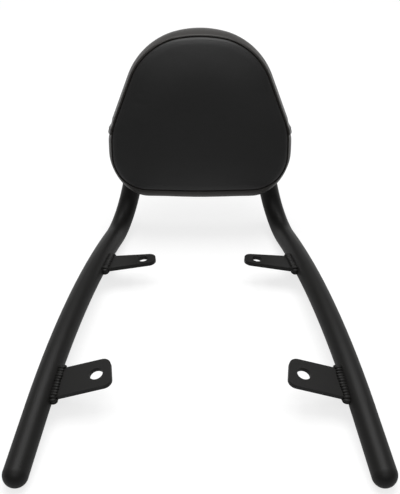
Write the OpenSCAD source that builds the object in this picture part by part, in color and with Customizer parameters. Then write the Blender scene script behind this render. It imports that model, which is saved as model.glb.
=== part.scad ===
// Motorcycle passenger backrest.
// One length of round steel tube is bent into a hoop. Its two ends run forward as rails
// beside the seat, and its middle stands up behind the passenger and carries the pad.
// Four flat tabs welded inside the rails bolt to the fender struts.
// Left and right are the rider's: left is +X, the front is -Y.

/* [Tube] */
// Outside diameter of the tube
tube_d = 25.4; // [24:0.2:27]
// Wall thickness of the tube
tube_wall = 2; // [1.5:0.1:3]
// Depth of the spigot that holds an end cap in the tube
cap_spigot = 8; // [5:1:15]

/* [Rails] */
// Half the distance between the two front ends
front_half = 174.6; // [165:0.2:185]
// Length of the straight behind each front end
front_run = 74; // [50:1:85]
// Angle that the front of a rail runs inwards
front_toe = 7.6; // [6:0.1:9]
// Angle that the front of a rail rises
front_rise = 7.85; // [6:0.05:9]
// Centreline radius of the sweep bend
sweep_clr = 954; // [900:2:1000]
// Angle that the back of a rail runs inwards
back_toe = 11.3; // [10.2:0.1:12.4]
// Angle that the back of a rail falls
back_fall = 10.9; // [10:0.1:12]
// Length of the straight between the sweep bend and the heel bend
back_run = 4; // [3:0.5:12]
// Centreline radius of the heel bend
heel_clr = 50.8; // [40:0.2:52]

/* [Hoop] */
// Angle that the uprights and the pad lean back
lean = 15; // [10:0.5:20]
// Angle that each upright leans towards the middle
toe_in = 13; // [11.5:0.5:14]
// Centreline radius of the top bend
top_clr = 63.5; // [60:0.5:66]

/* [Front tabs] */
// Thickness of the tab plates and of the pad's cross plate
plate_t = 4.8; // [4:0.1:6]
// Distance of the front tabs behind the start of the sweep bend
front_tab_at = 29; // [28:0.5:90]
// Width of a front tab
front_tab_w = 36.5; // [32:0.5:45]
// Reach of a front tab from the tube's centre
front_tab_reach = 72; // [60:0.5:90]
// Radius of a front tab's two corners
front_corner_r = 9; // [3:0.5:15]
// Diameter of the front bolt holes
front_hole_d = 14.5; // [10:0.5:16]
// Distance of the front bolt holes from the tab's end
front_hole_inset = 16; // [14:0.5:20]
// Angle that a front tab rises towards the middle
front_tab_rise = 12; // [0:1:20]
// Angle that a front tab is turned back
front_tab_turn = 5.5; // [0:0.5:10]

/* [Rear tabs] */
// Distance of the rear tabs behind the start of the sweep bend
rear_tab_at = 242; // [200:0.5:262]
// Width of a rear tab at the tube
rear_root_w = 32.5; // [28:0.5:36]
// Width of a rear tab at its tip
rear_tip_w = 20; // [19:0.5:26]
// Reach of a rear tab from the tube's centre
rear_tab_reach = 73; // [60:0.5:90]
// Radius of a rear tab's two corners
rear_corner_r = 9; // [3:0.5:9]
// Diameter of the rear bolt holes
rear_hole_d = 12; // [8:0.5:13]
// Distance of the rear bolt holes from the tab's tip
rear_hole_inset = 15.4; // [13:0.1:20]
// Angle that a rear tab rises towards the middle
rear_tab_rise = 6; // [0:1:12]
// Angle that a rear tab is turned back
rear_tab_turn = 1.5; // [0:0.5:6]

/* [Welds] */
// Radius of the weld beads at the tabs
weld_r = 5.5; // [4:0.5:7]
// Radius of the weld beads at the cross plate
plate_weld_r = 4; // [3.5:0.5:5]

/* [Pad outline] */
// Half width of the pad's front seam
pad_half = 110.3; // [105:0.5:120]
// Height of the pad's top corner point over the top of the hoop
pad_over = 18.6; // [17:0.2:26]
// Drop from the top corner point to the shoulders
shoulder_drop = 15; // [12:0.5:20]
// Half width of the pad's shoulders
shoulder_half = 68; // [62:0.5:75]
// Height of the pad's sloping sides
slope_h = 108.8; // [100:0.2:118]
// Height of the pad's upright sides
side_h = 68.7; // [62:0.1:75]
// Drop of the lower seam from its corners to its middle
low_drop = 7; // [3:1:12]
// Radius of the pad's lower corners
low_corner_r = 47; // [35:1:50]
// Radius where the pad's sides turn inwards
side_r = 70; // [50:5:90]
// Radius of the pad's shoulders
shoulder_r = 80; // [60:1:85]
// Radius of the pad's top
top_r = 120; // [80:5:120]
// Radius of the pad's lower edge
bottom_r = 800; // [400:50:850]

/* [Pad depth] */
// Thickness of the base board
board_t = 12; // [11:0.5:15]
// Height of the foam from the board to the front seam
foam_t = 35.5; // [25:0.5:45]
// Amount that the front panel stands out at its middle
crown = 8; // [4:0.5:14]
// Amount that the side band swells out
bulge = 3.4; // [1:0.2:6]
// Amount that the side band swells out further along its lower edge
low_bulge = 6.5; // [1:0.5:9]
// Thickness of the covering
cover_t = 1.3; // [1:0.1:2]
// Height of the pocket from its hem to the pad's top
pocket_h = 123.8; // [112:0.2:128]
// Depth of the round at the pocket's back edge
pocket_round = 9; // [4:0.5:11]

/* [Pad fixing] */
// Height of the cross plate's middle over the pad's lower seam
plate_over = 41; // [34:1:47]
// Height of the cross plate
plate_h = 38; // [30:1:44]
// Distance of each pad screw from the middle
screw_half = 32; // [20:1:40]
// Diameter of the pad screws
screw_d = 8; // [6:0.5:8]
// Length of the pad screws under the head
screw_l = 16; // [14:0.5:17]
// Height of the screws' heads
head_h = 5.2; // [4:0.1:6.5]
// Width of the screws' heads over their corners
head_d = 15; // [13:0.5:18]
// Thickness of the washers
washer_t = 1.6; // [1:0.1:2.5]
// Diameter of the washers
washer_d = 16; // [15:0.5:24]
// Wall of the tee nuts' barrels
nut_wall = 1.2; // [1:0.1:2]
// Diameter of the tee nuts' flanges
nut_flange_d = 19; // [17:0.5:24]
// Thickness of the tee nuts' flanges
nut_flange_t = 1.5; // [1:0.1:2]

/* [Hidden] */

tube_r = tube_d / 2;
bore_r = tube_r - tube_wall;
// Clearance between pieces that only lie against each other
fit_gap = 0.3;
// Straights are this much slimmer than bends and lap this far into them, so that they join cleanly
join_step = 0.05;
join_lap = 0.5;
// Radial clearance of a weld bead, which is cut straight, over the tube's slight bend
weld_gap = 0.12;
// Radial clearance of the end cap's spigot in the tube
spigot_gap = 0.1;
// Length that a cut runs past what it cuts
cut_past = 1;
// Facets of the tube, of small round pieces and of the pad's round corners
tube_fn = 64;
small_fn = 32;
arc_step = 6;

satin_black = [0.11, 0.11, 0.115];
weld_black = [0.16, 0.16, 0.165];
vinyl_black = [0.13, 0.13, 0.13];
vinyl_edge = [0.2, 0.19, 0.185];
foam_grey = [0.55, 0.55, 0.52];
board_brown = [0.62, 0.48, 0.32];
zinc = [0.62, 0.63, 0.65];

function unit(v) = v / norm(v);

// Direction of a rail that runs inwards by toe and rises by rise
function heading(toe, rise) = [-sin(toe) * cos(rise), cos(toe) * cos(rise), sin(rise)];

// A bend of radius r from p, turning from direction u to v:
// start, end, centre, start direction, angle and corner point
function bend_from(p, u, v, r) =
    let (a = acos(u * v), t = r * tan(a / 2))
    [p, p + (u + v) * t, p + unit(v - u * cos(a)) * r, u, a, p + u * t];

// Centreline of the left side, from the front end to the start of the top bend
rail_end = [front_half, 0, tube_r];
front_dir = heading(front_toe, front_rise);
back_dir = heading(back_toe, -back_fall);
upright_dir = [-sin(toe_in), cos(toe_in) * sin(lean), cos(toe_in) * cos(lean)];
sweep = bend_from(rail_end + front_dir * front_run, front_dir, back_dir, sweep_clr);
heel = bend_from(sweep[1] + back_dir * back_run, back_dir, upright_dir, heel_clr);
heel_corner = heel[5];
upright_l = (heel_corner[0] - top_clr * cos(toe_in)) / sin(toe_in);
upright_end = heel_corner + upright_dir * upright_l;

// Heights on the pad, measured up the hoop from the heel
hoop_top = upright_l * cos(toe_in) + top_clr * (1 - sin(toe_in)) + tube_r;
pad_top = hoop_top + pad_over;
shoulder_up = pad_top - shoulder_drop;
pad_side_up = shoulder_up - slope_h;
low_corner_up = pad_side_up - side_h;
pad_low = low_corner_up - low_drop;
hem_up = pad_top - pocket_h;
plate_up = pad_low + plate_over;

// The part's middle from front to back, so that the frame's origin lies under it
rear_reach = heel_corner[1] + shoulder_up * sin(lean) + (tube_r + cover_t) * cos(lean);
middle_back = (rear_reach - tube_r) / 2;

// Centreline point and direction of the sweep bend at a distance s from its start
sweep_side = unit(sweep[0] - sweep[2]);
function sweep_angle(s) = s / sweep_clr * 180 / PI;
function rail_point(s) =
    sweep[2] + (sweep_side * cos(sweep_angle(s)) + front_dir * sin(sweep_angle(s))) * sweep_clr;
function rail_dir(s) = front_dir * cos(sweep_angle(s)) - sweep_side * sin(sweep_angle(s));

// Places children with their X and Y axes along x and y, at point p
module at_frame(p, x, y) {
    z = cross(x, y);
    multmatrix([
        [x[0], y[0], z[0], p[0]],
        [x[1], y[1], z[1], p[1]],
        [x[2], y[2], z[2], p[2]],
        [0, 0, 0, 1]
    ]) children();
}

// Turns children so that their Z axis runs along d
module aim(d) rotate([0, acos(d[2]), atan2(d[1], d[0])]) children();

// Section of the tube, or of a solid bar where bore is 0
module section(r, bore) difference() {
    circle(r = r, $fn = tube_fn);
    if (bore > 0) circle(r = bore, $fn = tube_fn);
}

// A straight stretch from p to q, which laps into the bends at its ends
module straight(p, q, bore) {
    d = unit(q - p);
    translate(p - d * join_lap) aim(d)
        linear_extrude(norm(q - p) + 2 * join_lap)
            section(tube_r - join_step, bore > 0 ? bore + join_step : 0);
}

module bent(b, clr, bore) {
    at_frame(b[2], unit(b[0] - b[2]), b[3])
        rotate_extrude(angle = b[4], $fn = 4 * tube_fn)
            translate([clr, 0])
                section(tube_r, bore);
}

module sweep_bend(bore) bent(sweep, sweep_clr, bore);
module upright(bore) straight(heel[1], upright_end, bore);

module top_bend(bore) {
    centre = [0, upright_end[1], upright_end[2]]
        - [0, sin(lean), cos(lean)] * (top_clr * sin(toe_in));
    at_frame(centre, unit(upright_end - centre), upright_dir)
        rotate_extrude(angle = 180 - 2 * toe_in, $fn = 4 * tube_fn)
            translate([top_clr, 0])
                section(tube_r, bore);
}

// Both sides and the top of the hoop
module hoop(bore) {
    for (side = [0, 1]) mirror([side, 0, 0]) {
        straight(rail_end + front_dir * join_lap, sweep[0], bore);
        sweep_bend(bore);
        straight(sweep[1], heel[0], bore);
        bent(heel, heel_clr, bore);
        upright(bore);
    }
    top_bend(bore);
}

// Moves the part so that the frame's origin lies under its middle
module in_frame() translate([0, -middle_back, 0]) children();

// Draws children on the left side, or mirrored on the right side
module on_side(side) in_frame() mirror([side == "left" ? 0 : 1, 0, 0]) children();

module hoop_tube() {
    color(satin_black) in_frame() hoop(bore_r);
}

// A pressed dome that closes the tube's front end and is welded round its rim
module end_cap(side) {
    color(satin_black) on_side(side) translate(rail_end) aim(-front_dir) {
        rotate_extrude($fn = tube_fn) intersection() {
            circle(r = tube_r, $fn = tube_fn);
            square(tube_r);
        }
        translate([0, 0, -cap_spigot])
            cylinder(r = bore_r - spigot_gap, h = cap_spigot, $fn = tube_fn);
    }
}

// Points of a convex outline with rounded corners, each with its outward normal
function corner_arc(p0, p1, p2, r) =
    let (
        u = unit(p1 - p0), v = unit(p2 - p1), a = acos(min(1, u * v)),
        c = p1 - u * (r * tan(a / 2)) + [-u[1], u[0]] * r,
        a0 = atan2(-u[0], u[1]), n = max(2, ceil(a / arc_step))
    )
    [for (k = [0 : n]) let (s = a0 + a * k / n)
        [c[0] + r * cos(s), c[1] + r * sin(s), cos(s), sin(s)]];
function rounded(pts, radii) =
    let (n = len(pts))
    [for (i = [0 : n - 1]) each radii[i] > 0
        ? corner_arc(pts[(i + n - 1) % n], pts[i], pts[(i + 1) % n], radii[i])
        : [[pts[i][0], pts[i][1], 0, 0]]];
function plain(outline) = [for (p = outline) [p[0], p[1]]];

// Length that the round of radius r at a corner takes from each side beside it
function round_reach(p0, p1, p2, r) = r * tan(acos(min(1, unit(p1 - p0) * unit(p2 - p1))) / 2);

// Radii that leave room for the rounds of both corners on every side
function fitted(pts, radii) =
    let (
        n = len(pts),
        reach = [for (i = [0 : n - 1])
            round_reach(pts[(i + n - 1) % n], pts[i], pts[(i + 1) % n], radii[i])],
        room = [for (i = [0 : n - 1]) let (j = (i + 1) % n)
            norm(pts[j] - pts[i]) / (reach[i] + reach[j] + fit_gap)]
    )
    [for (i = [0 : n - 1]) radii[i] * min(1, room[i], room[(i + n - 1) % n])];

// Directions of a tab: inwards in its plane, to the front and up
function tab_axes(at, rise) =
    let (d = rail_dir(at), x = [-cos(rise), 0, sin(rise)], z = unit(cross([0, 1, d[2] / d[1]], x)))
    [x, cross(z, x), z];

// Frame of a tab: X runs along its middle from the tube's centre, Z up
module tab_frame(at, rise, turn) {
    axes = tab_axes(at, rise);
    at_frame(rail_point(at), axes[0], axes[1]) rotate([0, 0, -turn]) children();
}

// A tab plate from the tube's centre to its end, drilled for its bolt
module tab_plate(root_w, tip_w, reach, corner_r, hole_d, inset) {
    corners = [[0, -root_w / 2], [reach, -tip_w / 2], [reach, tip_w / 2], [0, root_w / 2]];
    difference() {
        linear_extrude(plate_t, center = true)
            polygon(plain(rounded(corners, fitted(corners, [0, corner_r, corner_r, 0]))));
        translate([reach - inset, 0, -plate_t])
            cylinder(d = hole_d, h = 2 * plate_t, $fn = tube_fn);
    }
}

module front_tab_plate() {
    tab_frame(front_tab_at, front_tab_rise, front_tab_turn)
        tab_plate(front_tab_w, front_tab_w, front_tab_reach, front_corner_r,
            front_hole_d, front_hole_inset);
}

module rear_tab_plate() {
    tab_frame(rear_tab_at, rear_tab_rise, rear_tab_turn)
        tab_plate(rear_root_w, rear_tip_w, rear_tab_reach, rear_corner_r,
            rear_hole_d, rear_hole_inset);
}

// A tab's root is cut to the tube's round
module front_tab(side) {
    color(satin_black) on_side(side) difference() {
        front_tab_plate();
        sweep_bend(0);
    }
}

module rear_tab(side) {
    color(satin_black) on_side(side) difference() {
        rear_tab_plate();
        sweep_bend(0);
    }
}

// A round bar with tapered ends along Y, the form that a weld bead is cut from
module bead_bar(l, r) {
    rotate([90, 0, 0]) {
        cylinder(r = r, h = l, center = true, $fn = small_fn);
        for (s = [0, 1]) mirror([0, 0, s])
            translate([0, 0, l / 2]) cylinder(r1 = r, r2 = r / 2, h = r, $fn = small_fn);
    }
}

// A bead runs along the tube, where the middle line of a tab of width w meets it
module tab_bead(at, rise, turn, w) {
    axes = tab_axes(at, rise);
    tab_dir = axes[0] * cos(turn) - axes[1] * sin(turn);
    along = unit(rail_dir(at) - axes[2] * (rail_dir(at) * axes[2]));
    inwards = cross(axes[2], along);
    slip = (tab_dir * along) / (tab_dir * inwards);
    at_frame(rail_point(at), inwards, -along)
        translate([tube_r, -tube_r * slip, 0])
            rotate([0, 180, 0])
                bead_bar(w * sqrt(1 + slip * slip), weld_r);
}

module weld_cut(at, w) {
    translate(rail_point(at)) aim(rail_dir(at))
        cylinder(r = tube_r + weld_gap, h = 3 * w, center = true, $fn = tube_fn);
}

module front_weld(side) {
    color(weld_black) on_side(side) difference() {
        tab_bead(front_tab_at, front_tab_rise, front_tab_turn, front_tab_w);
        weld_cut(front_tab_at, front_tab_w);
        front_tab_plate();
    }
}

module rear_weld(side) {
    color(weld_black) on_side(side) difference() {
        tab_bead(rear_tab_at, rear_tab_rise, rear_tab_turn, rear_root_w);
        weld_cut(rear_tab_at, rear_root_w);
        rear_tab_plate();
    }
}

// Frame of the pad: Y runs up the uprights from the heel, Z out of the pad's face
module pad_axes() {
    translate([0, heel_corner[1], heel_corner[2]]) rotate([90 - lean, 0, 0]) children();
}
module pad_frame() in_frame() pad_axes() children();

// Half the space between the uprights' centres at height y
function upright_half(y) = heel_corner[0] - y * tan(toe_in);

// The cross plate is flush with the tube's front, and its ends stop just short of the tube
plate_back = tube_r - plate_t;
plate_side = (sqrt(tube_r * tube_r - plate_back * plate_back) + fit_gap) / cos(toe_in);

module cross_plate() {
    low = plate_up - plate_h / 2;
    high = plate_up + plate_h / 2;
    a = upright_half(low) - plate_side;
    b = upright_half(high) - plate_side;
    color(satin_black) pad_frame() difference() {
        translate([0, 0, plate_back])
            linear_extrude(plate_t)
                polygon([[-a, low], [a, low], [b, high], [-b, high]]);
        for (s = [-1, 1])
            translate([s * screw_half, plate_up, 0])
                cylinder(d = screw_d + 2 * fit_gap, h = 2 * tube_r, $fn = small_fn);
    }
}

// A bead fills the groove between the back of the cross plate and the tube
module plate_weld(side) {
    color(weld_black) on_side(side) difference() {
        pad_axes()
            translate([upright_half(plate_up) - plate_side, plate_up, plate_back])
                rotate([0, 0, toe_in])
                    bead_bar(plate_h - 2 * plate_weld_r, plate_weld_r);
        upright(0);
        pad_axes() translate([0, 0, plate_back]) cube([pad_half, pad_top, tube_d]);
    }
}

// The pad's front seam, anticlockwise from the middle of its lower edge
pad_side = [
    [pad_half, low_corner_up], [pad_half, pad_side_up], [shoulder_half, shoulder_up]
];
function flipped(pts) = [for (i = [len(pts) - 1 : -1 : 0]) [-pts[i][0], pts[i][1]]];
pad_corners = concat([[0, pad_low]], pad_side, [[0, pad_top]], flipped(pad_side));
pad_radii = fitted(pad_corners,
    [bottom_r, low_corner_r, side_r, shoulder_r, top_r, shoulder_r, side_r, low_corner_r]);
shoulder_round = pad_radii[3];
top_round = pad_radii[4];
pad_outline = rounded(pad_corners, pad_radii);
pad_mid_up = (pad_low + pad_top) / 2;

// Levels of the pad, measured out from the hoop's middle plane
board_back = tube_r;
board_front = tube_r + board_t;
seam_z = board_front + foam_t;

// Swell of the side band's outer face at level s, from 0 at the board to 1 at the seam, where
// the outline faces down by the share down
band_back = cover_t + fit_gap;
swell_lead = 1.3;
low_lead = 2.4;
function band_swell(s, down = 0) =
    band_back * (1 - s * s) + bulge * sin(180 * pow(s, swell_lead))
    + low_bulge * pow(down, 3) * sin(180 * pow(s, low_lead));
band_steps = 7;
function band_level(s) = board_back + fit_gap + (seam_z - cover_t - board_back - 2 * fit_gap) * s;

// Rise of the crowned front over the seam, for a share f of the way out to the seam
crown_flat = 3;
crown_edge = 0.7;
function crown_rise(f) = crown * pow(1 - pow(f, crown_flat), crown_edge);
crown_shares = [1, 0.95, 0.85, 0.7, 0.5, 0.25];

function swollen(outline, d, z) = [for (p = outline) [p[0] + d * p[2], p[1] + d * p[3], z]];
function drawn_in(outline, d, f, z) =
    [for (p = swollen(outline, d, z)) [p[0] * f, pad_mid_up + (p[1] - pad_mid_up) * f, z]];

// Ring of the band's swollen side at level s, drawn in by inset, at height z
function band_ring(s, inset, z) = [for (p = pad_outline)
    let (d = band_swell(s, max(0, -p[3])) - inset)
    [p[0] + d * p[2], p[1] + d * p[3], z]];

// A closed skin through equal rings of points, capped at both ends or closed on itself
module loft(rings, looped = false) {
    m = len(rings[0]);
    n = len(rings);
    polyhedron(
        points = [for (r = rings) each r],
        faces = concat(
            [for (k = [0 : n - (looped ? 1 : 2)]) for (i = [0 : m - 1])
                let (j = (i + 1) % m, k2 = (k + 1) % n)
                each [[k * m + i, k2 * m + i, k * m + j], [k * m + j, k2 * m + i, k2 * m + j]]],
            looped ? [] : [[for (i = [0 : m - 1]) i], [for (i = [m - 1 : -1 : 0]) (n - 1) * m + i]]
        )
    );
}

// Plywood board with a stepped hole for each tee nut
module base_board() {
    color(board_brown) pad_frame() difference() {
        translate([0, 0, board_back])
            linear_extrude(board_t)
                polygon(plain(pad_outline));
        for (s = [-1, 1]) translate([s * screw_half, plate_up, 0]) {
            cylinder(r = nut_barrel_r, h = 2 * board_front, $fn = small_fn);
            translate([0, 0, board_front - nut_flange_t])
                cylinder(d = nut_flange_d, h = board_t, $fn = small_fn);
        }
    }
}

module foam_core() {
    foam_in = cover_t + fit_gap;
    color(foam_grey) pad_frame() loft(concat(
        [for (k = [0 : band_steps])
            let (s = k / band_steps, z = board_front + (seam_z - foam_in - board_front) * s,
                level = (z - band_level(0)) / (band_level(1) - band_level(0)))
            band_ring(min(1, level), foam_in, z)],
        [for (f = crown_shares) if (f < 1)
            drawn_in(pad_outline, -foam_in, f, seam_z - foam_in + crown_rise(f))]
    ));
}

module front_panel() {
    n = len(crown_shares);
    color(vinyl_black) pad_frame() loft(concat(
        [for (k = [n - 1 : -1 : 0])
            drawn_in(pad_outline, 0, crown_shares[k], seam_z - cover_t + crown_rise(crown_shares[k]))],
        [for (f = crown_shares) drawn_in(pad_outline, 0, f, seam_z + crown_rise(f))]
    ));
}

module side_band() {
    color(vinyl_edge) pad_frame() loft(concat(
        [for (k = [0 : band_steps]) let (s = k / band_steps)
            band_ring(s, 0, band_level(s))],
        [for (k = [band_steps : -1 : 0]) let (s = k / band_steps)
            band_ring(s, cover_t, band_level(s))]
    ), looped = true);
}

// Half width of the pad's sloping side at height y, and the sideways step of a unit offset
side_slope = (pad_half - shoulder_half) / (shoulder_up - pad_side_up);
side_step = sqrt(1 + side_slope * side_slope);
function sloping_half(y) = pad_half - (y - pad_side_up) * side_slope;

// Outline of the pocket, cut off straight at the height low
function pocket_outline(low) =
    let (
        hem = [sloping_half(low), low], shoulder = [shoulder_half, shoulder_up],
        top = [0, pad_top], far = [-shoulder_half, shoulder_up]
    )
    concat(
        [[hem[0], low, side_step, 0]],
        corner_arc(hem, shoulder, top, shoulder_round),
        corner_arc(shoulder, top, far, top_round),
        corner_arc(top, far, [-hem[0], low], shoulder_round),
        [[-hem[0], low, -side_step, 0]]
    );

round_steps = 5;

// The pocket's form, drawn in by inset and reaching forward by past beyond the seam
module pocket_form(inset, past, low) {
    outline = pocket_outline(low);
    skin = cover_t + fit_gap - inset;
    back = -tube_r - fit_gap - cover_t + inset;
    loft(concat(
        [for (k = [round_steps : -1 : 0]) let (a = 90 * k / round_steps)
            swollen(outline, band_back + skin - pocket_round * (1 - cos(a)),
                board_back + (back - board_back) * sin(a))],
        [for (k = [1 : band_steps]) let (s = k / band_steps)
            swollen(outline, band_swell(s) + skin, band_level(s))],
        past > 0 ? [swollen(outline, band_swell(1) + skin, seam_z + past)] : []
    ));
}

// Pocket over the top of the hoop, open below and closed at the back
module rear_pocket() {
    color(vinyl_edge) pad_frame() difference() {
        pocket_form(0, 0, hem_up);
        pocket_form(cover_t, cover_t, hem_up - pocket_round);
    }
}

nut_barrel_r = screw_d / 2 + nut_wall;

module screw_place(side) {
    pad_frame() translate([(side == "left" ? 1 : -1) * screw_half, plate_up, 0]) children();
}

// Hexagon screw through the cross plate into the tee nut
module pad_screw(side) {
    under = plate_back - washer_t;
    color(zinc) screw_place(side) {
        translate([0, 0, under - head_h]) cylinder(d = head_d, h = head_h, $fn = 6);
        translate([0, 0, under - head_h / 2])
            cylinder(d = screw_d, h = screw_l + head_h / 2, $fn = small_fn);
    }
}

module washer(side) {
    color(zinc) screw_place(side) translate([0, 0, plate_back - washer_t]) difference() {
        cylinder(d = washer_d, h = washer_t, $fn = small_fn);
        translate([0, 0, -cut_past])
            cylinder(d = screw_d + 2 * spigot_gap, h = washer_t + 2 * cut_past, $fn = small_fn);
    }
}

// A tee nut's barrel stands in the board, and its flange lies flush with the board's front
module tee_nut(side) {
    color(zinc) screw_place(side) difference() {
        union() {
            translate([0, 0, board_back + fit_gap])
                cylinder(r = nut_barrel_r - spigot_gap, h = board_t - fit_gap, $fn = small_fn);
            translate([0, 0, board_front - nut_flange_t])
                cylinder(d = nut_flange_d - 2 * spigot_gap, h = nut_flange_t, $fn = small_fn);
        }
        translate([0, 0, -cut_past])
            cylinder(d = screw_d + 2 * spigot_gap, h = 2 * board_front, $fn = small_fn);
    }
}

hoop_tube();
end_cap("left");  // end_cap_left
end_cap("right");  // end_cap_right
front_tab("left");  // front_tab_left
front_tab("right");  // front_tab_right
rear_tab("left");  // rear_tab_left
rear_tab("right");  // rear_tab_right
front_weld("left");  // front_weld_left
front_weld("right");  // front_weld_right
rear_weld("left");  // rear_weld_left
rear_weld("right");  // rear_weld_right
cross_plate();
plate_weld("left");  // plate_weld_left
plate_weld("right");  // plate_weld_right
base_board();
foam_core();
front_panel();
side_band();
rear_pocket();
pad_screw("left");  // pad_screw_left
pad_screw("right");  // pad_screw_right
washer("left");  // washer_left
washer("right");  // washer_right
tee_nut("left");  // tee_nut_left
tee_nut("right");  // tee_nut_right
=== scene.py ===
import math

import bmesh
import bpy
import numpy as np
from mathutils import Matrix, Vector
from mathutils.bvhtree import BVHTree


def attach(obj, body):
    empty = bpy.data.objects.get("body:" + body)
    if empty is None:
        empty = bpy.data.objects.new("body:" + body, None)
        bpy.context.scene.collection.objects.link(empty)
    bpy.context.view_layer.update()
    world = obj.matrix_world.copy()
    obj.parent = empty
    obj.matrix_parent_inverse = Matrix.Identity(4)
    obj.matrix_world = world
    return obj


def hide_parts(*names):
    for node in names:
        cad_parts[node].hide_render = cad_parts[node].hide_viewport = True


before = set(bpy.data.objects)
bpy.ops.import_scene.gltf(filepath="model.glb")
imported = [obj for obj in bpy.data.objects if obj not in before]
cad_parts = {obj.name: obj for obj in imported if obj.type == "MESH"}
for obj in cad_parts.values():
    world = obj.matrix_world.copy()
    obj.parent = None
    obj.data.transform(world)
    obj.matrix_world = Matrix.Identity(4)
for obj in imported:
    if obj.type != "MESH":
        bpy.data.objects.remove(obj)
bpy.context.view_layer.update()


# Camera
# The backrest lies on its rails and is seen from the front and above, along its
# middle plane and from about a metre away.
focal_pixels, tall_pixels = 850, 494
camera_data = bpy.data.cameras.new("camera")
camera_data.sensor_width = 36.0
camera_data.lens = 36.0 * focal_pixels / tall_pixels
camera_data.clip_start = 0.05
camera_data.clip_end = 50
camera = bpy.data.objects.new("camera", camera_data)
camera.location = (0, -0.7729, 0.6592)
camera.rotation_euler = (math.radians(90 - 35.96), 0, 0)
bpy.context.collection.objects.link(camera)
bpy.context.scene.camera = camera


# Coated steel
# The hoop, its tabs, the cross plate and the domed ends are steel under one coat of
# satin black powder: slightly pebbled, with a soft broad sheen and a few dull handling
# marks. The parts are coated together after welding, so one finish runs over them all.
class Socket:
    """One output of a shader node, so that shader maths reads as arithmetic."""

    def __init__(self, tree, out):
        self.tree, self.out = tree, out

    def maths(self, operation, a, b=None):
        node = self.tree.nodes.new("ShaderNodeMath")
        node.operation = operation
        for slot, value in zip(node.inputs, (a, b)):
            if isinstance(value, Socket):
                self.tree.links.new(value.out, slot)
            elif value is not None:
                slot.default_value = value
        return Socket(self.tree, node.outputs[0])

    def __add__(self, other): return self.maths("ADD", self, other)
    def __radd__(self, other): return self.maths("ADD", other, self)
    def __sub__(self, other): return self.maths("SUBTRACT", self, other)
    def __rsub__(self, other): return self.maths("SUBTRACT", other, self)
    def __mul__(self, other): return self.maths("MULTIPLY", self, other)
    def __rmul__(self, other): return self.maths("MULTIPLY", other, self)
    def __truediv__(self, other): return self.maths("DIVIDE", self, other)
    def __pow__(self, other): return self.maths("POWER", self, other)
    def most(self, other): return self.maths("MAXIMUM", self, other)
    def least(self, other): return self.maths("MINIMUM", self, other)


class Graph:
    """A node tree under construction."""

    def __init__(self, tree):
        self.tree = tree

    def node(self, kind, settings=None, inputs=None, out=0):
        """Any node: its type, its settings first, then the values or links of its sockets."""
        node = self.tree.nodes.new(kind)
        for key, value in (settings or {}).items():
            if key == "stops":
                ramp = node.color_ramp
                while len(ramp.elements) < len(value):
                    ramp.elements.new(0.5)
                for element, (at, colour) in zip(ramp.elements, value):
                    element.position = at
                    element.color = colour
            else:
                setattr(node, key, value)
        for key, value in (inputs or {}).items():
            if isinstance(value, Socket):
                self.tree.links.new(value.out, node.inputs[key])
            else:
                node.inputs[key].default_value = value
        return Socket(self.tree, node.outputs[out]) if node.outputs else None

    def ramped(self, value, stops):
        return self.node("ShaderNodeValToRGB", {"stops": stops}, {"Fac": value})

    def given(self, name):
        """A named input of a geometry tree."""
        return self.node("NodeGroupInput", out=name)

    def seen_by(self, *kinds):
        """1 for the named kinds of ray, and 0 for the rest."""
        rays = [self.node("ShaderNodeLightPath", out=f"Is {kind} Ray") for kind in kinds]
        return sum(rays[1:], rays[0]).least(1.0)


class Finish(Graph):
    """A procedural material under construction."""

    def __init__(self, name):
        self.material = bpy.data.materials.new(name)
        self.material.use_nodes = True
        super().__init__(self.material.node_tree)
        self.shader = self.tree.nodes["Principled BSDF"]
        self.place = self.node("ShaderNodeTexCoord", out="Object")

    def blended(self, share, one, other):
        """Mixes two colours by a share."""
        node = self.tree.nodes.new("ShaderNodeMix")
        node.data_type = "RGBA"
        self.tree.links.new(share.out, node.inputs["Factor"])
        for key, value in (("A", one), ("B", other)):
            slot = [s for s in node.inputs if s.name == key and s.type == "RGBA"][0]
            if isinstance(value, Socket):
                self.tree.links.new(value.out, slot)
            else:
                slot.default_value = value
        return Socket(self.tree, [s for s in node.outputs if s.type == "RGBA"][0])

    def noise(self, scale, detail=2.0, roughness=0.5):
        return self.node("ShaderNodeTexNoise", {}, {
            "Vector": self.place, "Scale": scale, "Detail": detail, "Roughness": roughness})

    def bumped(self, height, strength, distance):
        return self.node("ShaderNodeBump", {}, {
            "Height": height, "Strength": strength, "Distance": distance})

    def drive(self, **sockets):
        """Sets or links the shader's own sockets, named with underscores for spaces."""
        for key, value in sockets.items():
            slot = self.shader.inputs[key.replace("_", " ")]
            if isinstance(value, Socket):
                self.tree.links.new(value.out, slot)
            else:
                slot.default_value = value
        return self.material


def powder_coat(name, dark, light, pebble):
    """Satin powder coat whose pebbled skin is pebble metres high."""
    coat = Finish(name)
    cloud = coat.noise(14, 3)
    speck = coat.noise(900, 2)
    skin = coat.noise(420, 3, 0.55) * 0.7 + coat.noise(1300, 2) * 0.3
    scuff = coat.ramped(
        coat.noise(70, 5, 0.7), [(0.0, (0, 0, 0, 1)), (0.56, (0, 0, 0, 1)), (0.74, (1, 1, 1, 1))])
    colour = coat.blended(cloud * 0.7 + speck * 0.3, dark, light)
    rough = 0.42 + cloud * 0.1 + scuff * 0.06
    return coat.drive(
        Base_Color=colour, Roughness=rough, Normal=coat.bumped(skin, 0.5, pebble),
        Specular_IOR_Level=0.22)


coat = powder_coat("satin_black_coat", (0.0062, 0.006, 0.0057, 1), (0.0105, 0.0101, 0.0095, 1), 0.0001)
# The weld beads get a copy of the same coat painted a little lighter: painted highlight, standing in for
# the light their ripples catch.
bead_coat_painted_lighter = powder_coat(
    "satin_black_coat_painted_lighter_on_welds", (0.0066, 0.0064, 0.0061, 1), (0.0115, 0.011, 0.0103, 1), 0.00016)


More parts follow.
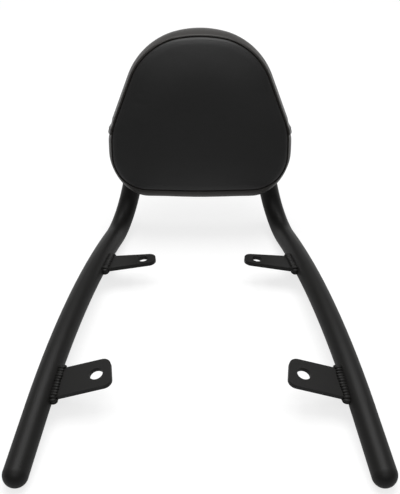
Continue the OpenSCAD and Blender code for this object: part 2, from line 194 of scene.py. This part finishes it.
def dress(node, material):
    """Gives a CAD node its finish, and keeps its shape."""
    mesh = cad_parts[node].data
    mesh.materials.clear()
    mesh.materials.append(material)


for node in ("hoop_tube", "end_cap_left", "end_cap_right", "cross_plate"):
    dress(node, coat)


# Tabs
# The four tabs are sawn from flat bar, with their corners rounded and one hole drilled
# near the end. Their edges were broken by hand before coating, so a thin bright line runs
# along each one. They are coped to the tube and welded to it.
def eased(node, name, width, segments):
    """A copy of a CAD node with its sharp edges broken by width."""
    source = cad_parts[node].data
    mesh = bpy.data.meshes.new(name)
    shape = bmesh.new()
    shape.from_mesh(source)
    bmesh.ops.remove_doubles(shape, verts=shape.verts, dist=1e-6)
    bmesh.ops.dissolve_limit(
        shape, angle_limit=math.radians(0.5), verts=shape.verts, edges=shape.edges,
        delimit={"NORMAL"})
    shape.to_mesh(mesh)
    shape.free()
    piece = bpy.data.objects.new(name, mesh)
    bpy.context.collection.objects.link(piece)
    bevel = piece.modifiers.new("eased", "BEVEL")
    bevel.width = width
    bevel.segments = segments
    bevel.limit_method = "ANGLE"
    bevel.angle_limit = math.radians(50)
    bevel.use_clamp_overlap = True
    return frozen(piece)


def frozen(piece):
    """Turns a piece and its live modifiers into a plain mesh."""
    graph = bpy.context.evaluated_depsgraph_get()
    mesh = bpy.data.meshes.new_from_object(piece.evaluated_get(graph))
    piece.modifiers.clear()
    piece.data = mesh
    return piece


def finished(piece, material, *nodes):
    """Gives a piece its finish, and lets it ride in the place of the CAD nodes it stands for."""
    piece.data.materials.clear()
    piece.data.materials.append(material)
    for face in piece.data.polygons:
        face.use_smooth = True
    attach(piece, "root")
    if nodes:
        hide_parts(*nodes)
    return piece


rounded_face = 2e-5
for end in ("front", "rear"):
    for side in ("left", "right"):
        node = f"{end}_tab_{side}"
        piece = eased(node, f"{node}_plate", 0.0006, 2)
        finished(piece, coat, node)
        for face in piece.data.polygons:
            face.use_smooth = face.area < rounded_face


# Weld beads
# Each tab and both ends of the cross plate are welded by hand with a bead that runs round
# the joint. A bead is a row of overlapping, slightly uneven ripples of set metal, about
# 9 mm across and half sunk in the joint, which the coat covers.
def ripple_tree(material):
    """Rows of flattened ripples along the splines of a wire mesh."""
    tree = bpy.data.node_groups.new("weld_ripples", "GeometryNodeTree")
    face = tree.interface
    face.new_socket("Geometry", in_out="INPUT", socket_type="NodeSocketGeometry")
    for name, value in (("Pitch", 0.0019), ("Width", 0.003), ("Height", 0.0023), ("Length", 0.002)):
        face.new_socket(name, in_out="INPUT", socket_type="NodeSocketFloat").default_value = value
    face.new_socket("Seed", in_out="INPUT", socket_type="NodeSocketInt").default_value = 7
    face.new_socket("Geometry", in_out="OUTPUT", socket_type="NodeSocketGeometry")
    graph = Graph(tree)
    line = graph.node("GeometryNodeMeshToCurve", inputs={0: graph.given("Geometry")})
    even = graph.node(
        "GeometryNodeResampleCurve", {"mode": "LENGTH"}, {"Curve": line, "Length": graph.given("Pitch")})
    drop = graph.node("GeometryNodeMeshIcoSphere", inputs={"Radius": 1.0, "Subdivisions": 3}, out="Mesh")
    sizes = graph.node("ShaderNodeCombineXYZ", inputs={
        "X": graph.given("Width"), "Y": graph.given("Height"), "Z": graph.given("Length")})
    uneven = graph.node("FunctionNodeRandomValue", {"data_type": "FLOAT_VECTOR"}, {
        0: (0.84, 0.8, 0.85), 1: (1.1, 1.15, 1.12), "Seed": graph.given("Seed")})
    scaled = graph.node("ShaderNodeVectorMath", {"operation": "MULTIPLY"}, {0: sizes, 1: uneven})
    across = graph.node(
        "GeometryNodeInputNamedAttribute", {"data_type": "FLOAT_VECTOR"}, {"Name": "across"})
    lined = graph.node(
        "FunctionNodeAlignEulerToVector", {"axis": "Z"}, {"Vector": graph.node("GeometryNodeInputTangent")})
    turned = graph.node(
        "FunctionNodeAlignEulerToVector", {"axis": "X", "pivot_axis": "Z"},
        {"Rotation": lined, "Vector": across})
    placed = graph.node("GeometryNodeInstanceOnPoints", inputs={
        "Points": even, "Instance": drop, "Rotation": turned, "Scale": scaled})
    solid = graph.node("GeometryNodeRealizeInstances", inputs={0: placed})
    coated = graph.node("GeometryNodeSetMaterial", inputs={0: solid, "Material": material})
    graph.node("NodeGroupOutput", inputs={0: coated})
    return tree


def grown(piece, tree, **sizes):
    """Runs a tree on a piece, with its named inputs set, and keeps the result as plain mesh."""
    step = piece.modifiers.new(tree.name, "NODES")
    step.node_group = tree
    for item in tree.interface.items_tree:
        if item.in_out == "INPUT" and item.name in sizes:
            step[item.identifier] = sizes[item.name]
    return frozen(piece)


def wire(name, paths):
    """A wire mesh of open paths, each point with the direction that lies across the bead."""
    points = [Vector(point) for path in paths for point, _ in path]
    across = [direction for path in paths for _, direction in path]
    edges, first = [], 0
    for path in paths:
        edges += [(first + k, first + k + 1) for k in range(len(path) - 1)]
        first += len(path)
    mesh = bpy.data.meshes.new(name)
    mesh.from_pydata(points, edges, [])
    layer = mesh.attributes.new("across", "FLOAT_VECTOR", "POINT")
    layer.data.foreach_set("vector", np.array(across, float).ravel())
    piece = bpy.data.objects.new(name, mesh)
    bpy.context.collection.objects.link(piece)
    return piece


tube_radius = 12.7
plate_half = 2.4
# The left rail starts at its front end, runs straight and then follows one long bend: the
# toe and climb of its first and last directions are in degrees
rail_end = (174.6, -248.53, tube_radius)
front_run, bend_radius = 74.0, 954.0
front_way, back_way = (7.6, 7.85), (11.3, -10.9)
# A bead's line stands this far off the tube, off the tab's faces and past the tab's edges
bead_out, bead_lift, bead_past = 2.0, 0.5, 0.6


def heading(toe, rise):
    """The direction of a left rail that runs back, leans inward by toe and climbs by rise."""
    toe, rise = math.radians(toe), math.radians(rise)
    return Vector((-math.sin(toe) * math.cos(rise), math.cos(toe) * math.cos(rise), math.sin(rise)))


def tab_root(run, rise, turn):
    """Where a left tab leaves the tube, run millimetres along the rail's long bend: the point,
    the tab's own directions outward, along its width and through its thickness, and the tube's."""
    ahead, behind = heading(*front_way), heading(*back_way)
    inward = (behind - ahead * ahead.dot(behind)).normalized()
    angle = run / bend_radius
    bend = (inward * (1 - math.cos(angle)) + ahead * math.sin(angle)) * bend_radius
    at = Vector(rail_end) + ahead * front_run + bend
    tube = ahead * math.cos(angle) + inward * math.sin(angle)
    rise, turn = math.radians(rise), math.radians(-turn)
    flat = Vector((-math.cos(rise), 0, math.sin(rise)))
    up = Vector((0, 1, tube.z / tube.y)).cross(flat).normalized()
    aside = up.cross(flat)
    out = flat * math.cos(turn) + aside * math.sin(turn)
    return at, out, aside * math.cos(turn) - flat * math.sin(turn), up, tube


def tab_bead_path(root, width, side):
    """The closed line round a tab's root, on the tube's surface."""
    at, out, wide, up, tube = root

    def on_tube(across, lift):
        start = wide * across + up * lift
        a, b, c = out.dot(tube), start.dot(tube), start.dot(out)
        p, q = 1 - a * a, c - b * a
        r = start.dot(start) - b * b - tube_radius ** 2
        reach = (-q + math.sqrt(max(q * q - p * r, 0))) / p
        return at + start + out * (reach + bead_out)

    lift = plate_half + bead_lift
    half = width / 2 + bead_past
    bead_end = ((1.7, 0.6), (2.3, 0), (1.7, -0.6))
    steps = 12
    line = [(-half + 2 * half * k / steps, lift) for k in range(steps + 1)]
    line += [(half + edge, lift * share) for edge, share in bead_end]
    line += [(half - 2 * half * k / steps, -lift) for k in range(steps + 1)]
    line += [(-half - edge, -lift * share) for edge, share in bead_end] + [line[0]]
    flip = Vector((1 if side == "left" else -1, 1, 1))
    return [(on_tube(a, b) * flip / 1000, out * flip) for a, b in line]


front_root, rear_root = tab_root(run=29, rise=12, turn=5.5), tab_root(run=242, rise=6, turn=1.5)
front_width, rear_width = 36.5, 30.5
beads = wire("weld_beads", [
    tab_bead_path(root, width, side)
    for root, width in ((front_root, front_width), (rear_root, rear_width)) for side in ("left", "right")])
grown(beads, ripple_tree(bead_coat_painted_lighter), Pitch=0.0034, Width=0.0044, Height=0.0026, Length=0.0023, Seed=7)
# The beads and the plate welds wear the coat's copy painted lighter, a painted highlight for their rippled
# surface.
finished(beads, bead_coat_painted_lighter, "front_weld_left", "front_weld_right", "rear_weld_left", "rear_weld_right")
for node in ("plate_weld_left", "plate_weld_right"):
    dress(node, bead_coat_painted_lighter)


# Pad
# The pad is soft foam on a plywood board, covered in black grained vinyl. A crowned front
# panel is sewn to a side band all round, and the seam draws both in to a narrow valley.
# The pad is stuffed firmly, so the panel stands out evenly and the band swells a little.
lean = math.radians(15)
heel = (0, 0.18416, 0.005)
board_back, seam_out = 12.7, 60.2
crown, swell, low_roll = 8.0, 3.4, 7.7


def pad_place(x, up, out):
    """From millimetres across, up and out of the pad to the frame."""
    return Vector((
        x / 1000,
        heel[1] + (up * math.sin(lean) - out * math.cos(lean)) / 1000,
        heel[2] + (up * math.cos(lean) + out * math.sin(lean)) / 1000))


def rounded(corners, count):
    """Even points round a convex outline with rounded corners, each with its outward normal."""
    path, size = [], len(corners)
    for k, (x, y, r) in enumerate(corners):
        p = np.array((x, y), float)
        u = p - np.array(corners[k - 1][:2], float)
        v = np.array(corners[(k + 1) % size][:2], float) - p
        u, v = u / np.linalg.norm(u), v / np.linalg.norm(v)
        turn = math.acos(min(1, u @ v))
        centre = p - u * r * math.tan(turn / 2) + np.array((-u[1], u[0])) * r
        first = math.atan2(-u[0], u[1])
        steps = max(3, int(turn / math.radians(1.5)))
        for step in range(steps + 1):
            a = first + turn * step / steps
            path.append((*(centre + r * np.array((math.cos(a), math.sin(a)))), math.cos(a), math.sin(a)))
    path = np.array(path + [path[0]])
    run = np.concatenate([[0], np.cumsum(np.linalg.norm(np.diff(path[:, :2], axis=0), axis=1))])
    at = np.linspace(0, run[-1], count, endpoint=False)
    even = np.stack([np.interp(at, run, path[:, k]) for k in range(4)], 1)
    even[:, 2:] /= np.linalg.norm(even[:, 2:], axis=1)[:, None]
    return even


def mirrored(low, side, top):
    """Corners of an outline, each with its radius, from one side's corners."""
    return [low] + side + [top] + [(-x, y, r) for x, y, r in reversed(side)]


# The board's outline: a straight side, a slope in to the shoulders and an arched top. The
# hem of the pocket runs at the height where the slope starts
pad_half, shoulder_half, shoulder_up = 110.3, 68, 245.5
pad_low, pad_top, hem_up = 61, 260.5, 136.7
pad_corners = mirrored(
    (0, pad_low, 800), [(pad_half, 68, 47), (pad_half, hem_up, 70), (shoulder_half, shoulder_up, 80)],
    (0, pad_top, 120))
# The seam's own outline
seam_corners = mirrored((0, 63.5, 800), [(109.8, 66.5, 45), (110, 140, 70), (69.3, 244, 78)], (0, 261, 150))
middle_up = (pad_low + pad_top) / 2


def seam_reach(line):
    """How far the seam lies outside each point of a line of points with normals."""
    seam = rounded(seam_corners, 1400)[:, :2]
    reach = []
    for x, y, nx, ny in line:
        gap = seam - (x, y)
        along = gap @ (nx, ny)
        aside = np.abs(gap @ (-ny, nx)) + 100 * (np.abs(along) > 16)
        reach.append(along[aside.argmin()])
    return np.array(reach)


def eased_step(none, full, value):
    """Rises smoothly from 0 at the first value to 1 at the second."""
    t = min(1, max(0, (value - none) / (full - none)))
    return t * t * (3 - 2 * t)


def band_swell(s, up, down, reach):
    """How far the band stands outside the board at level s, from 0 at the board to 1."""
    low = low_roll * max(0, down) ** 3 * math.sin(math.pi * s ** 2.4)
    side = 1.2 * eased_step(hem_up, hem_up - 9, up) * (1 - abs(down))
    round_out = max(0.6, swell + side - 0.8 * max(0, reach)) * math.sin(math.pi * s ** 1.3)
    return 1.6 * (1 - s * s) + round_out + low + reach * eased_step(0.2, 0.85, s)


def crown_rise(f):
    return crown * (1 - f ** 3) ** 0.52


# The sewn edge in section: how far each ring lies outside the seam line and in front of it,
# and how much of the lower roll it still has
sewn_edge = [
    (1.25, -5.0, 0.75), (1.35, -3.6, 0.6), (1.3, -2.4, 0.42), (1.1, -1.4, 0.25), (0.8, -0.75, 0.1),
    (0.5, -0.6, 0), (0.3, -1.2, 0), (0.15, -2.8, 0), (-0.55, -2.8, 0), (-0.85, -1.2, 0),
    (-1.15, -0.3, 0), (-1.7, 0.5, 0), (-2.5, 1.2, 0), (-3.7, 2.0, 0), (-5.2, 2.6, 0)]


def pad_rings(outline, tight=0.0):
    """Rings of the cushion from the board's back, over the seam, to the crown."""
    rings = []
    reaches = seam_reach(outline)

    def ring(offset, out, share=1.0, level=None, seam=0.0, roll=0.0):
        line = []
        for (x, y, nx, ny), reach in zip(outline, reaches):
            d = offset - tight + seam * reach + roll * low_roll * max(0, -ny) ** 3
            if level is not None:
                d += band_swell(level, y, -ny, reach)
            line.append(pad_place((x + d * nx) * share, middle_up + (y + d * ny - middle_up) * share, out))
        rings.append(line)

    low = board_back + 0.3
    for offset, out in ((-12, 0.2), (-12, -0.8), (-1.2, -0.95), (0.9, -0.6)):
        ring(offset, board_back + out)
    for k in range(18):
        s = k / 17 * 0.86
        ring(0, low + (seam_out - low) * s, level=s)
    for offset, out, roll in sewn_edge:
        ring(offset, seam_out + out, seam=1, roll=roll)
    for f in (0.93, 0.905, 0.875, 0.84, 0.79, 0.73, 0.66, 0.58, 0.5, 0.42, 0.34, 0.26, 0.17, 0.08):
        ring(0, seam_out + crown_rise(f), f, seam=1)
    return rings


def lofted(name, rings):
    """A closed skin through equal rings, with a pole at each end."""
    count = len(rings[0])
    points = [p for ring in rings for p in ring]
    faces = []
    for k in range(len(rings) - 1):
        for i in range(count):
            j = (i + 1) % count
            faces.append((k * count + i, k * count + j, (k + 1) * count + j, (k + 1) * count + i))
    top = len(points)
    points.append(pad_place(0, middle_up, seam_out + crown))
    last = (len(rings) - 1) * count
    faces += [(last + i, last + (i + 1) % count, top) for i in range(count)]
    low = len(points)
    points.append(sum(rings[0], Vector()) / count)
    faces += [((i + 1) % count, i, low) for i in range(count)]
    mesh = bpy.data.meshes.new(name)
    mesh.from_pydata(points, [], faces)
    mesh.validate()
    piece = bpy.data.objects.new(name, mesh)
    bpy.context.collection.objects.link(piece)
    return piece


# How often the cloth's movement is evened out, and how much of it firm foam lets through
even_passes, foam_gives = 30, 0.45
cloth_frames, held_below = 20, 16


def stuffed(form, most):
    """Blows a remeshed copy of a form up as cloth, evens the movement out as firm foam does,
    and returns the form's surface with the movement of each of its points."""
    soft = bpy.data.objects.new(form.name + "_soft", form.data.copy())
    bpy.context.collection.objects.link(soft)
    even = soft.modifiers.new("even", "REMESH")
    even.mode = "VOXEL"
    even.voxel_size = 0.005
    frozen(soft)
    rest = np.array([v.co for v in soft.data.vertices])
    held = soft.vertex_groups.new(name="held")
    for k, co in enumerate(rest):
        held.add([k], 1.0 if pad_out(co) < held_below else 0.0, "REPLACE")
    cloth = soft.modifiers.new("cloth", "CLOTH")
    cloth.settings.use_pressure = True
    cloth.settings.uniform_pressure_force = 4
    cloth.settings.effector_weights.gravity = 0
    cloth.settings.quality = 6
    cloth.settings.tension_stiffness = 25
    cloth.settings.compression_stiffness = 25
    cloth.settings.bending_stiffness = 1.5
    cloth.settings.vertex_group_mass = "held"
    scene = bpy.context.scene
    scene.frame_start, scene.frame_end = 1, cloth_frames
    for step in range(1, cloth_frames + 1):
        scene.frame_set(step)
    graph = bpy.context.evaluated_depsgraph_get()
    blown = np.array([v.co for v in soft.evaluated_get(graph).data.vertices])
    move = blown - rest
    far = np.linalg.norm(move, axis=1)
    move *= np.minimum(1, most / np.maximum(far, 1e-9))[:, None]
    one, other = np.array([edge.vertices[:] for edge in soft.data.edges]).T
    degree = np.bincount(np.concatenate([one, other]), minlength=len(rest))[:, None]
    for _ in range(even_passes):
        near = np.zeros_like(move)
        np.add.at(near, one, move[other])
        np.add.at(near, other, move[one])
        move = (move + near / degree) / 2
    soft.modifiers.clear()
    soft.data.vertices.foreach_set("co", (rest + move).ravel())
    scene.frame_set(1)
    faces = [tuple(f.vertices) for f in soft.data.polygons]
    points = [Vector(v) for v in rest]
    bpy.data.objects.remove(soft)
    print("cushion swells by up to", round(1000 * float(np.linalg.norm(move, axis=1).max()), 2), "mm")
    return BVHTree.FromPolygons(points, faces), points, faces, move


def settled(piece, before, points, faces, move, share):
    """Moves a piece's points as the nearest part of the blown-up form moved."""
    for vertex in piece.data.vertices:
        weight = share(vertex.co)
        if weight <= 0:
            continue
        near = faces[before.find_nearest(vertex.co)[2]]
        pull = [1 / (1e-4 + (vertex.co - points[k]).length) for k in near]
        step = sum((Vector(move[k]) * w for k, w in zip(near, pull)), Vector()) / sum(pull)
        vertex.co += step * weight


def pad_out(point):
    """How far a point stands out of the hoop's middle plane, in millimetres."""
    return 1000 * ((point[2] - heel[2]) * math.sin(lean) - (point[1] - heel[1]) * math.cos(lean))


def soft_share(point):
    """Firm foam gives partly in the panel and the band, and holds at the seam and the board."""
    out = pad_out(point)
    if out > seam_out:
        return foam_gives * min(1, (out - seam_out) / 5)
    return foam_gives * max(0, min(1, (out - held_below) / 8, (seam_out - 4 - out) / 8))


outline = rounded(pad_corners, 220)
pad = lofted("pad_cushion", pad_rings(outline))
form = lofted("pad_form", pad_rings(outline, 1.5))
settled(pad, *stuffed(form, 0.005), soft_share)
bpy.data.objects.remove(form)


# The covering is cut from black upholstery vinyl: a fine pebble grain pressed into a
# matte skin over a knitted back. It shines softly where it is stretched over an edge.
def vinyl(name, dark, light, grain):
    skin = Finish(name)
    cell = skin.node("ShaderNodeTexVoronoi", {"feature": "DISTANCE_TO_EDGE"}, {
        "Vector": skin.place, "Scale": 760.0, "Randomness": 0.85})
    pebble = cell.least(0.22) * 4.5
    creases = skin.noise(150, 4, 0.6)
    cloud = skin.noise(11, 3)
    colour = skin.blended(cloud * 0.6 + pebble * 0.4, dark, light)
    height = pebble * 0.75 + creases * 0.5 + skin.noise(1500, 2) * 0.1
    return skin.drive(
        Base_Color=colour, Roughness=0.4 + cloud * 0.12 + (1 - pebble) * 0.08,
        Normal=skin.bumped(height, 0.35, grain), Specular_IOR_Level=0.48)


panel_vinyl = vinyl("black_vinyl_panel", (0.0058, 0.0058, 0.0058, 1), (0.0096, 0.0096, 0.0095, 1), 0.0001)
# The band's vinyl is the same black vinyl painted lighter and warmer: painted light, standing in for the
# top light falling on the band and the pocket.
band_vinyl_painted_lit = vinyl("black_vinyl_band_painted_lit", (0.0155, 0.0138, 0.0122, 1), (0.025, 0.0224, 0.0196, 1), 0.00012)
finished(pad, panel_vinyl, "foam_core", "front_panel", "side_band")
# Faces behind the seam, on the band, take the vinyl copy painted lighter as painted light from above.
pad.data.materials.append(band_vinyl_painted_lit)
for face in pad.data.polygons:
    face.material_index = int(pad_out(face.center) < seam_out - 0.6)


# Pocket
# A pocket of the same vinyl is sewn to the pad's front seam and drops over the top of the
# hoop, so it hides the tube and hooks the pad to it. It is open below: its hem is folded
# and stitched, and stands a little proud of the side band.
pocket_back, back_round = -14.3, 9
# How far the pocket's skin stands outside the board, in front and at the start of its back round
skin_front, skin_back = 1.6, 3.2


def hem_swell(up):
    """How far the folded hem stands out at a height, in millimetres."""
    fold = 1 / (1 + math.exp((up - hem_up - 9.0) / 0.5))
    return 0.55 * fold


def pocket_rows(side_points, steps):
    rows = []
    low = board_back + 0.3
    reaches = seam_reach(side_points)

    def row(offset, out, level=None, seam=0):
        line = []
        for (x, up, nx, ny), reach in zip(side_points, reaches):
            d = offset + hem_swell(up) + seam * reach
            if level is not None:
                d += band_swell(level, up, 0, reach)
            keep = 1 if up > hem_up + 14 else 0
            line.append((x + d * nx, up + d * ny * keep, out))
        rows.append(line)

    for offset, out in ((0.2, -1.9), (0.55, -0.85), (1.15, -0.75), (1.9, -1.2), (2.6, -2.2), (2.9, -3.6)):
        row(offset, seam_out + out, seam=1)
    for k in range(steps):
        s = 0.88 - 0.88 * k / (steps - 1)
        row(skin_front, low + (seam_out - low) * s, level=s)
    for k in range(1, 19):
        a = math.radians(5 * k)
        out = board_back + (pocket_back - board_back) * math.sin(a)
        row(skin_back - back_round * (1 - math.cos(a)), out)
    return rows


def pocket_path(count):
    """Points over the top of the pad, from the right hem to the left one."""
    line = rounded(pad_corners, 1600)
    slope = np.array((pad_half - shoulder_half, shoulder_up - hem_up))
    normal = np.array((slope[1], slope[0])) / np.linalg.norm(slope)
    above = line[(line[:, 1] > 190) & (line[:, 0] >= 0)]
    above = above[np.argsort(above[:, 1])]
    start = np.array((pad_half, hem_up))
    straight = [start + (above[0, :2] - start) * t for t in np.linspace(0, 1, 60, endpoint=False)]
    half = np.vstack([[(*p, *normal) for p in straight], above])
    run = np.concatenate([[0], np.cumsum(np.linalg.norm(np.diff(half[:, :2], axis=0), axis=1))])
    near = np.linspace(0, 14, 15)
    far = np.linspace(14, run[-1], count)[1:]
    at = np.concatenate([near, far])
    even = np.stack([np.interp(at, run, half[:, k]) for k in range(4)], 1)
    even[-1, 0], even[-1, 2:] = 0, (0, 1)
    other = even[-2::-1] * np.array((-1, 1, -1, 1))
    return np.vstack([even, other])


def pocket_shell():
    path = pocket_path(70)
    rows = pocket_rows(path, 14)
    count = len(path)
    points = [pad_place(*p) for line in rows for p in line]
    faces = []
    for k in range(len(rows) - 1):
        for i in range(count - 1):
            a = k * count + i
            faces.append((a, a + 1, a + count + 1, a + count))
    last = (len(rows) - 1) * count
    half = count // 2
    across = 20
    edge = rows[-1]
    strips = []
    for i in range(half):
        right, left = edge[i], edge[count - 1 - i]
        strip = [last + i]
        for k in range(1, across):
            t = k / across
            x = right[0] + (left[0] - right[0]) * t
            clear = min(1, max(0, (right[1] - hem_up) / 30)) * min(1, (250 - right[1]) / 30)
            sag = 1.1 * math.sin(math.pi * t) ** 2 * clear
            strip.append(len(points))
            points.append(pad_place(x, right[1], pocket_back + sag - hem_swell(right[1])))
        strip.append(last + count - 1 - i)
        strips.append(strip)
    for low, high in zip(strips, strips[1:]):
        for k in range(across):
            faces.append((low[k], high[k], high[k + 1], low[k + 1]))
    top = last + half
    faces += [(strips[-1][k], top, strips[-1][k + 1]) for k in range(across)]
    mesh = bpy.data.meshes.new("pad_pocket")
    mesh.from_pydata(points, [], faces)
    mesh.validate()
    piece = bpy.data.objects.new("pad_pocket", mesh)
    bpy.context.collection.objects.link(piece)
    shape = bmesh.new()
    shape.from_mesh(mesh)
    bmesh.ops.remove_doubles(shape, verts=shape.verts, dist=1e-5)
    bmesh.ops.recalc_face_normals(shape, faces=shape.faces)
    inside = pad_place(0, 190, 20)
    outward = sum((f.calc_center_median() - inside).dot(f.normal) * f.calc_area() for f in shape.faces)
    if outward < 0:
        bmesh.ops.reverse_faces(shape, faces=shape.faces)
    shape.to_mesh(mesh)
    shape.free()
    wall = piece.modifiers.new("wall", "SOLIDIFY")
    wall.thickness = 0.0013
    wall.offset = -1
    return frozen(piece), rows


pocket, pocket_table = pocket_shell()
# The pocket takes the same vinyl copy, painted lighter as painted light from above.
finished(pocket, band_vinyl_painted_lit, "rear_pocket")


def hem_path(step):
    """The line of the hem's stitches, some steps above the fold: one side, the back, the other side."""
    side_line = [line[step] for line in pocket_table[4:]]
    x, up, out = side_line[-1]
    across = [(x - 2 * x * k / 40, up, pocket_back - hem_swell(up)) for k in range(1, 40)]
    other = [(-x, up, out) for x, up, out in reversed(side_line)]
    tall = pad_place(0, 1, 0) - pad_place(0, 0, 0)
    return [(pad_place(*point), tall.normalized()) for point in side_line + across + other]


thread = Finish("black_thread")
thread.drive(
    Base_Color=thread.blended(thread.noise(800), (0.014, 0.013, 0.012, 1), (0.03, 0.028, 0.026, 1)),
    Roughness=0.55 + thread.noise(1200) * 0.2)
stitches = wire("hem_stitches", [hem_path(6)])
grown(
    stitches, ripple_tree(thread.material),
    Pitch=0.0036, Width=0.00045, Height=0.00045, Length=0.0015, Seed=3)
finished(stitches, thread.material)


# Board and fixings
# The board is plywood stained black. Zinc plated screws with washers pass through the
# cross plate into tee nuts in the board.
def stained_ply():
    ply = Finish("stained_plywood")
    grain = ply.node("ShaderNodeTexNoise", {}, {
        "Vector": ply.node("ShaderNodeMapping", {}, {"Vector": ply.place, "Scale": (0.12, 1, 1)}),
        "Scale": 160.0, "Detail": 5.0, "Roughness": 0.6})
    return ply.drive(
        Base_Color=ply.blended(grain, (0.02, 0.016, 0.012, 1), (0.07, 0.05, 0.033, 1)),
        Roughness=0.6 + grain * 0.2, Normal=ply.bumped(grain, 0.4, 0.0002))


def zinc():
    plate = Finish("zinc_plate")
    tone = plate.noise(90, 4)
    return plate.drive(
        Base_Color=plate.blended(tone, (0.42, 0.43, 0.45, 1), (0.62, 0.63, 0.65, 1)),
        Metallic=1.0, Roughness=0.32 + tone * 0.2, Normal=plate.bumped(plate.noise(700, 3), 0.25, 0.00005))


dress("base_board", stained_ply())
plating = zinc()
for side in ("left", "right"):
    for kind in ("pad_screw", "washer", "tee_nut"):
        dress(f"{kind}_{side}", plating)


# Stage
# A white sweep of paper under and behind the backrest, lit from above by wide soft
# lamps, so the black coat shows only broad, quiet highlights and a pale shadow.
def studio_floor():
    floor = Finish("white_paper")
    far = floor.ramped(
        floor.node("ShaderNodeVectorMath", {"operation": "LENGTH"}, {0: floor.place}, out="Value") * 0.25,
        [(0.2, (0, 0, 0, 1)), (0.42, (1, 1, 1, 1))])
    paper = floor.blended(floor.noise(60, 3), (0.30, 0.30, 0.30, 1), (0.32, 0.32, 0.32, 1))
    floor.drive(Base_Color=floor.blended(far, paper, (0, 0, 0, 1)), Roughness=0.9, Specular_IOR_Level=0.1)
    back = floor.ramped(
        floor.node("ShaderNodeSeparateXYZ", inputs={0: floor.place}, out="Y"),
        [(0.1, (0.33, 0.33, 0.33, 1)), (0.6, (1, 1, 1, 1))])
    white = floor.seen_by("Camera", "Transmission") * (0.745 + far * 0.255) + floor.seen_by("Glossy") * back
    glow = floor.node("ShaderNodeEmission", inputs={"Color": (1, 1, 1, 1), "Strength": white})
    paint = Socket(floor.tree, floor.shader.outputs[0])
    both = floor.node("ShaderNodeAddShader", inputs={0: paint, 1: glow})
    floor.tree.links.new(both.out, floor.tree.nodes["Material Output"].inputs["Surface"])
    mesh = bpy.data.meshes.new("floor")
    mesh.from_pydata([(-4, -0.5, 0), (4, -0.5, 0), (4, 6, 0), (-4, 6, 0)], [], [(0, 1, 2, 3)])
    plane = bpy.data.objects.new("floor", mesh)
    mesh.materials.append(floor.material)
    bpy.context.collection.objects.link(plane)


def white_room():
    """White to the camera. To the part it is dim in front and low down, paler overhead,
    and white low down at the back, where the paper sweeps up."""
    world = bpy.data.worlds.new("white_room")
    bpy.context.scene.world = world
    world.use_nodes = True
    room = Graph(world.node_tree)
    way = room.node("ShaderNodeTexCoord", out="Generated")
    back = room.node("ShaderNodeSeparateXYZ", inputs={0: way}, out="Y") * 0.5 + 0.5
    up = room.node("ShaderNodeSeparateXYZ", inputs={0: way}, out="Z") * 0.5 + 0.5
    overhead = room.ramped(up, [
        (0.5, (0.06, 0.06, 0.06, 1)), (0.62, (0.14, 0.14, 0.14, 1)), (0.95, (0.5, 0.5, 0.5, 1))])
    sweep = room.ramped(back, [(0.5, (0, 0, 0, 1)), (0.68, (1, 1, 1, 1))]) * room.ramped(
        up, [(0.56, (1, 1, 1, 1)), (0.7, (0, 0, 0, 1))])
    level = overhead + sweep * 0.85
    shown = room.seen_by("Camera", "Transmission")
    sky = room.tree.nodes["Background"]
    sky.inputs["Color"].default_value = (1, 1, 1, 1)
    room.tree.links.new((level + shown * (1 - level)).out, sky.inputs["Strength"])


studio_floor()
white_room()


def soft_lamp(name, place, target, size, power):
    lamp_data = bpy.data.lights.new(name, "AREA")
    lamp_data.shape = "RECTANGLE"
    lamp_data.size, lamp_data.size_y = size
    lamp_data.energy = power
    lamp = bpy.data.objects.new(name, lamp_data)
    lamp.location = place
    lamp.rotation_euler = (Vector(target) - Vector(place)).to_track_quat("-Z", "Y").to_euler()
    bpy.context.collection.objects.link(lamp)


soft_lamp("top_softbox", place=(0, 0.25, 1.6), target=(0, 0.05, 0.05), size=(1.3, 1.1), power=19)
soft_lamp("front_softbox", place=(0, -1.5, 1.7), target=(0, 0, 0.1), size=(1.4, 0.8), power=7)

bpy.context.scene.view_settings.view_transform = "Standard"
